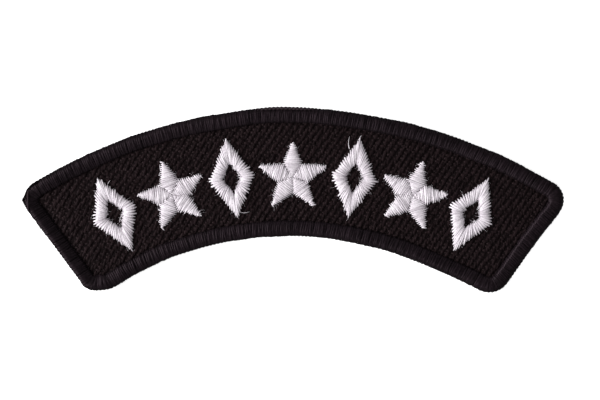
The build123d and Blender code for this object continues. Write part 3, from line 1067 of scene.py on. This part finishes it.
# %% Tail
# Each route has a tone, half its thickness in mm, and points in X, Y and Z in mm, at the heights
# of the rim's shoulder that it lies on.
TAIL_ROUTES = {
    "loop": (-0.35, 0.17, [
        (-47.7, 3.45, 1.6), (-48.4, 3.17, 1.95), (-49.0, 2.78, 1.95), (-49.6, 2.13, 1.9),
        (-50.0, 1.45, 1.85), (-50.2, 0.95, 1.8), (-50.42, 0.45, 1.8), (-50.68, 0.15, 1.75),
        (-50.72, -0.2, 1.7), (-50.5, -0.44, 1.7), (-50.2, -0.46, 1.75), (-49.96, -0.3, 1.95),
        (-49.92, 0.0, 2.1), (-50.05, 0.3, 2.05), (-50.3, 0.38, 1.9), (-50.55, 0.3, 1.55),
        (-50.62, 0.0, 1.35), (-50.5, -0.22, 1.3), (-50.25, -0.2, 1.3),
    ]),
    "lower": (-0.33, 0.16, [
        (-50.6, -0.3, 1.5), (-50.45, -0.62, 1.65), (-50.22, -1.0, 1.75), (-49.95, -1.5, 1.8),
        (-49.65, -2.0, 1.85), (-49.25, -2.5, 1.8), (-48.8, -2.9, 1.5),
    ]),
    # The taut strand's light tone is a painted highlight, where it faces the lamp.
    "taut": (0.3, 0.17, [
        (-49.6, 1.9, 1.75), (-49.68, 1.4, 2.1), (-49.68, 0.7, 2.2), (-49.68, -0.3, 2.2), (-49.68, -1.2, 2.15),
        (-49.6, -1.9, 2.05), (-49.35, -2.4, 1.7),
    ]),
}
TAIL_TURN = 0.75  # length in which the plies wind once about each other
TAIL_STATIONS = 64
CORNER_CUTS = 3


def rounded(route, times):
    """The route with its corners cut again and again, which leaves a smooth line."""
    route = np.array(route)
    for _ in range(times):
        near, far = 0.75 * route[:-1] + 0.25 * route[1:], 0.25 * route[:-1] + 0.75 * route[1:]
        route = np.concatenate([route[:1], np.stack([near, far], axis=1).reshape(-1, 3), route[-1:]])
    return route


def evenly(route, count):
    """Points at even steps along a route, and the distance of each from its start."""
    run = np.concatenate([[0], np.cumsum(np.linalg.norm(np.diff(route, axis=0), axis=1))])
    at = np.linspace(0, run[-1], count)
    return np.column_stack([np.interp(at, run, route[:, i]) for i in range(3)]), at


def tail_piece():
    """Two plies wound about each of the tail's routes."""
    plies, sides, swells, tones = [], [], [], []
    for name, (tone, half, corners) in TAIL_ROUTES.items():
        route, run = evenly(rounded(corners, CORNER_CUTS), TAIL_STATIONS)
        ahead = unit(np.gradient(route, axis=0))
        side = unit(np.cross(ahead, UP))
        above = np.cross(side, ahead)
        for half_turn in (0, np.pi):
            phase = (2 * np.pi * run / TAIL_TURN + half_turn)[:, None]
            plies.append(route + PLY_WIND * half * (side * np.cos(phase) + above * np.sin(phase)))
            sides.append(side)
            swells.append([PLY_SHARE * half])
            tones.append(tone)
        print("tail", name, round(float(run[-1]), 1), "mm long")
    plies, sides, swells, tones = (np.array(rows) for rows in (plies, sides, swells, tones))
    return strand_piece("border_tail_plies", plies, sides, swells, swells, tones, highlit_looper_thread)


tail = tail_piece()
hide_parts("border_tail")

# %% [markdown]
# ## Satin motifs
# The lozenges and stars are satin stitch: thread laid to and fro across a column, so close
# that it hides the cloth, over a padding that makes it bulge. Each pass starts at the needle
# hole where the last one ended, so the edges are a fine comb of teeth. Round a corner the
# passes fan out. A texture could draw the lines, but not the comb or the light on each
# pass, so every pass is a flattened strand that dives into the cloth at both ends.

# %% Motif places
MOTIF_HUB = np.array((0.0, -72.0))
MOTIF_RADIUS, MOTIF_STEP, MOTIF_COUNT = 76.9, 8.6, 7  # mm from the hub, degrees between two, how many
SATIN_BASE, SATIN_HEIGHT = 1.42, 0.72  # from just under the cloth's face to the CAD motif's top
SATIN_SIDE = 0.3


def motif_upward(number):
    """The direction that a motif's top points in."""
    return heading((number - (MOTIF_COUNT - 1) / 2) * MOTIF_STEP)


def turned_upright(number, flat):
    """Flat directions of a motif's own plane, turned the way it stands."""
    upward = motif_upward(number)
    return flat[..., :1] * -left_of(upward) + flat[..., 1:] * upward


def placed(number, flat):
    """Points of a motif's own plane, at its place on the patch."""
    return MOTIF_HUB + motif_upward(number) * MOTIF_RADIUS + edge_shift + turned_upright(number, flat)


print("motifs at X in mm:", [round(float(placed(n, np.zeros(2))[0]), 1) for n in range(MOTIF_COUNT)])

# %% Columns of the two motifs
SATIN_STROKE = 2.15
DIAMOND_HALF = np.array((4.25, 7.4))  # half its width and its height
STAR_POINTS, STAR_RADIUS = 5, 6.9
STAR_NOTCH, STAR_DROP = 0.45, 0.095  # places of its notches and its middle, as shares of the radius
STAR_MIDDLE, STAR_SEAM = SATIN_SIDE + 0.14, 0.22  # heights of the crest and the seams at the star's middle
# A column is two edges, each from its start to its end, the height of its crest at start and
# end, and the height at which its passes end.


def diamond_columns():
    """Four columns, mitred where they meet."""
    to_side = DIAMOND_HALF.prod() / np.linalg.norm(DIAMOND_HALF)
    inner = 1 - SATIN_STROKE / to_side
    tips = [np.array(tip) * DIAMOND_HALF for tip in ((0, 1), (1, 0), (0, -1), (-1, 0))]
    crest = (SATIN_HEIGHT, SATIN_HEIGHT)
    return [(a, b, inner * a, inner * b, crest, 0.0) for a, b in zip(tips, tips[1:] + tips[:1])]


def star_columns():
    """Two columns for each ray: from the middle out to the notches, and on to the tip."""
    step = 360 / STAR_POINTS
    middle = np.array((0.0, -STAR_DROP * STAR_RADIUS))
    columns = []

    def corner(rays, share):
        """A corner of the star, so many rays round from its top, at a share of its radius."""
        return middle + heading(rays * step) * STAR_RADIUS * share

    for ray in range(STAR_POINTS):
        tip, left, right = corner(ray, 1), corner(ray - 0.5, STAR_NOTCH), corner(ray + 0.5, STAR_NOTCH)
        columns.append((middle, left, middle, right, (STAR_MIDDLE, SATIN_HEIGHT), STAR_SEAM))
        columns.append((left, tip, right, tip, (SATIN_HEIGHT, SATIN_SIDE), 0.0))
    return columns


print("columns: lozenge", len(diamond_columns()), "star", len(star_columns()))

# %% Passes of the needle
NEEDLE_PITCH = 0.40  # from one needle hole to the next, at a column's middle
LEAST_PASS = 0.4
PASS_STATIONS, PASS_HALF_HEIGHT = 13, 0.07
# Half a pass's width as a share of its room, the least half width, and how much narrower its ends are.
PASS_WIDTH, LEAST_WIDTH, PASS_TAPER = 0.54, 0.085, 0.4
OVERSHOOT, HOLE_VARIES, PASS_BOWS, PASS_SINKS, PASS_LIFTS, PASS_VARIES = 0.04, 0.15, 0.025, 0.01, 0.04, 0.17
PASS_TONE, PASS_TONE_WAVE, PASS_TONE_LIMIT = 0.15, (0.05, 0.21), 0.35
ARCH_POWER = 2.2  # 2 is a half circle, and more is fuller at the sides


def lay_passes(columns):
    """Strands to and fro across each column: two ends, room at each, crest and seam heights."""
    rows = []
    for a0, a1, b0, b1, (crest_start, crest_end), seam in columns:
        length_a, length_b = np.linalg.norm(a1 - a0), np.linalg.norm(b1 - b0)
        count = 2 * round((length_a + length_b) / 2 / NEEDLE_PITCH)
        for k in range(count):
            at_a, at_b = (k + k % 2) / count, (k + 1 - k % 2) / count
            start, end = a0 + at_a * (a1 - a0), b0 + at_b * (b1 - b0)
            if np.linalg.norm(end - start) < LEAST_PASS:
                continue
            crest = crest_start + (crest_end - crest_start) * (k + 0.5) / count
            rows.append((*start, *end, length_a / count, length_b / count, crest, seam))
    return np.split(np.array(rows), [2, 4, 5, 6, 7], axis=1)


def arch(share, crest, seam):
    """Height across a column, whose sides are steep under a round top."""
    return seam + (crest - seam) * np.sqrt(np.clip(1 - np.abs(share) ** ARCH_POWER, 0, 1))


def satin_piece(name, columns, number):
    """All passes of one motif, as one mesh, with its needle holes and the ways that they face."""
    start, end, room_a, room_b, crest, seam = lay_passes(columns)
    count = len(start)
    reach = unit(end - start)
    start = start - reach * (OVERSHOOT + vary(HOLE_VARIES, count, 1))
    end = end + reach * (OVERSHOOT + vary(HOLE_VARIES, count, 1))
    share = eased(PASS_STATIONS)[None]
    blend = (share[..., None] + 1) / 2
    bow = vary(PASS_BOWS, count, 1) * (1 - share**2)
    flat = start[:, None] * (1 - blend) + end[:, None] * blend + bow[..., None] * left_of(reach)[:, None]
    height = SATIN_BASE + arch(share, crest, seam) - PASS_HALF_HEIGHT
    height = height + (vary(PASS_LIFTS, count, 1) - PASS_SINKS) * (1 - share**4)
    spines = raised(placed(number, flat), height)
    room = room_a * (1 - share) / 2 + room_b * (1 + share) / 2
    wide = np.maximum(PASS_WIDTH * room, LEAST_WIDTH) * (1 + vary(PASS_VARIES, count, 1))
    wide = wide * (1 - PASS_TAPER * share**8)
    slow = waves(np.arange(count), [(*PASS_TONE_WAVE, number)])
    tones = np.clip(slow + vary(PASS_TONE, count), -PASS_TONE_LIMIT, PASS_TONE_LIMIT)
    across = raised(turned_upright(number, left_of(reach)), 0.0)[:, None]
    away = turned_upright(number, reach)
    piece = strand_piece(name, spines, across, wide, PASS_HALF_HEIGHT, tones, satin_thread)
    return piece, np.concatenate([spines[:, 0], spines[:, -1]]), np.concatenate([-away, away])


# %% Padding under the satin
PADDING_WIDTH, PADDING_HEIGHT = 0.86, 0.9  # as shares of the passes
PADDING_REACH = 0.9  # how far it goes along a column that ends in a point
# The padding is painted darker: painted shade where it shows between the passes.
PADDING_FOOT, PADDING_PAINTED_SHADE = -0.03, -0.2
PADDING_ROWS, PADDING_STATIONS = 10, 9


def padding_piece(name, columns, number, ring):
    """The body that the passes lie on: a closed skin along each column, or one ring through all."""
    share = eased(PADDING_STATIONS)
    across = PADDING_WIDTH * np.append(share, [1, -1])[None, :, None]
    bulge = np.append(arch(share, 1.0, 0.0), [0, 0])[None]
    skins = []
    for a0, a1, b0, b1, (crest_start, crest_end), seam in columns:
        pointed = np.linalg.norm(b1 - a1) < LEAST_PASS
        at = np.linspace(0, PADDING_REACH if pointed else 1, PADDING_ROWS, endpoint=not ring)[:, None, None]
        start, end = a0 + at * (a1 - a0), b0 + at * (b1 - b0)
        crest = crest_start + (crest_end - crest_start) * at[:, 0]
        height = PADDING_HEIGHT * (bulge * (crest - seam) + seam)
        height[:, -2:] = PADDING_FOOT
        flat = (start + end) / 2 + across * (end - start) / 2
        skins.append(raised(placed(number, flat), SATIN_BASE + height))
    if ring:
        skins = [np.concatenate(skins)]
    quads, caps, offset = [], [], 0
    for skin in skins:
        some_quads, some_caps = skin_faces(*skin.shape[:2], ring)
        quads.append(some_quads + offset)
        caps.append(some_caps + offset)
        offset += skin.shape[0] * skin.shape[1]
    points = np.concatenate([skin.reshape(-1, 3) for skin in skins])
    quads, caps = np.concatenate(quads), np.concatenate(caps)
    return make_piece(name, points, quads, caps, np.full(len(points), PADDING_PAINTED_SHADE), None, satin_thread)


# %% Lay the row of motifs
needle_holes, hole_facing = [], []
for number in range(MOTIF_COUNT):
    hollow = number % 2 == 0
    node = f"diamond_{number // 2 + 1}" if hollow else f"star_{number // 2 + 1}"
    columns = diamond_columns() if hollow else star_columns()
    satin, holes, facing = satin_piece(f"{node}_satin", columns, number)
    needle_holes.append(holes)
    hole_facing.append(facing)
    padding = padding_piece(f"{node}_padding", columns, number, ring=hollow)
    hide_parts(node)
needle_holes, hole_facing = np.concatenate(needle_holes), np.concatenate(hole_facing)
print(len(needle_holes), "needle holes")

# %% [markdown]
# ## Stray fibres and trimmed ends
# No sewn edge is clean. Spun thread sheds short hairs, and where the needle starts or stops a
# white end is left standing for a millimetre or two. A hair particle system would do for the
# hairs, but it is drawn only in a render. As thin strands they are in the meshes too.

# %% Hairs
CURL = 0.45  # how far a hair curls sideways, as a share of its length
CLIMB = (0.3, 1.3)  # how steeply it rises, as shares of what is asked
DROOP, HAIR_TAPER, HAIR_STATIONS = 0.8, 0.5, 6
HAIR_TONES = (-0.1, 0.3)


def hair_piece(name, roots, away, lengths, thickness, rise, material):
    """Short threads that stand away from their roots and curl over. Away is a flat direction for each."""
    count = len(roots)
    share = np.linspace(0, 1, HAIR_STATIONS)[None, :, None]
    ahead, side = raised(away, 0.0)[:, None], raised(left_of(away), 0.0)[:, None]
    climb = rise * rng.uniform(*CLIMB, (count, 1, 1))
    curl = vary(CURL, count, 1, 1)
    path = ahead * share + side * (curl * share**2) + UP * (climb * share * (1 - DROOP * share))
    spines = roots[:, None] + lengths[:, None, None] * path
    spines[..., 2] = np.maximum(spines[..., 2], thickness)
    wide = thickness / 2 * (1 - HAIR_TAPER * share[..., 0])
    return strand_piece(name, spines, side, wide, wide, rng.uniform(*HAIR_TONES, count), material, sides=5)


def turned(directions, spread):
    """Flat directions, each turned by a random angle in degrees."""
    angle = np.radians(vary(spread, len(directions)))[:, None]
    return directions * np.cos(angle) + left_of(directions) * np.sin(angle)


# %% Place the hairs
RIM_HAIRS, MOTIF_HAIRS, TRIMMED_ENDS = 420, 520, 9
HAIR_THICKNESS, END_THICKNESS = 0.035, 0.13
RIM_LEVELS, RIM_LENGTHS = (0.3, 1.5), (0.15, 0.42)
RIM_ROOT, RIM_RISE = 0.1, 0.4  # how far inside the outline the rim's hairs start, and how steeply they rise
RIM_SPREAD, HOLE_SPREAD = 45, 40  # degrees by which hairs turn from straight out
ROOT_RISE = np.array([0.0, 0.0, 0.06])
# Columns: name, count, shortest, longest, thickness and rise.
WHITE_HAIRS = [
    ("motif_hairs", MOTIF_HAIRS, 0.2, 0.75, HAIR_THICKNESS, 0.5),
    ("trimmed_ends", TRIMMED_ENDS, 0.9, 1.9, END_THICKNESS, 0.35),
]

along = rng.uniform(0, edge_length, RIM_HAIRS)
roots = raised(on_edge(along, RIM_ROOT + pull(along)), rng.uniform(*RIM_LEVELS, RIM_HAIRS))
rim_hairs = hair_piece("rim_hairs", roots, turned(edge_facing(along), RIM_SPREAD),
                       rng.uniform(*RIM_LENGTHS, RIM_HAIRS), HAIR_THICKNESS, RIM_RISE, edging_thread)
for name, count, shortest, longest, thickness, rise in WHITE_HAIRS:
    chosen = rng.choice(len(needle_holes), count, replace=False)
    lengths = rng.uniform(shortest, longest, count)
    facing = turned(hole_facing[chosen], HOLE_SPREAD)
    hairs = hair_piece(name, needle_holes[chosen] + ROOT_RISE, facing, lengths, thickness, rise, satin_thread)
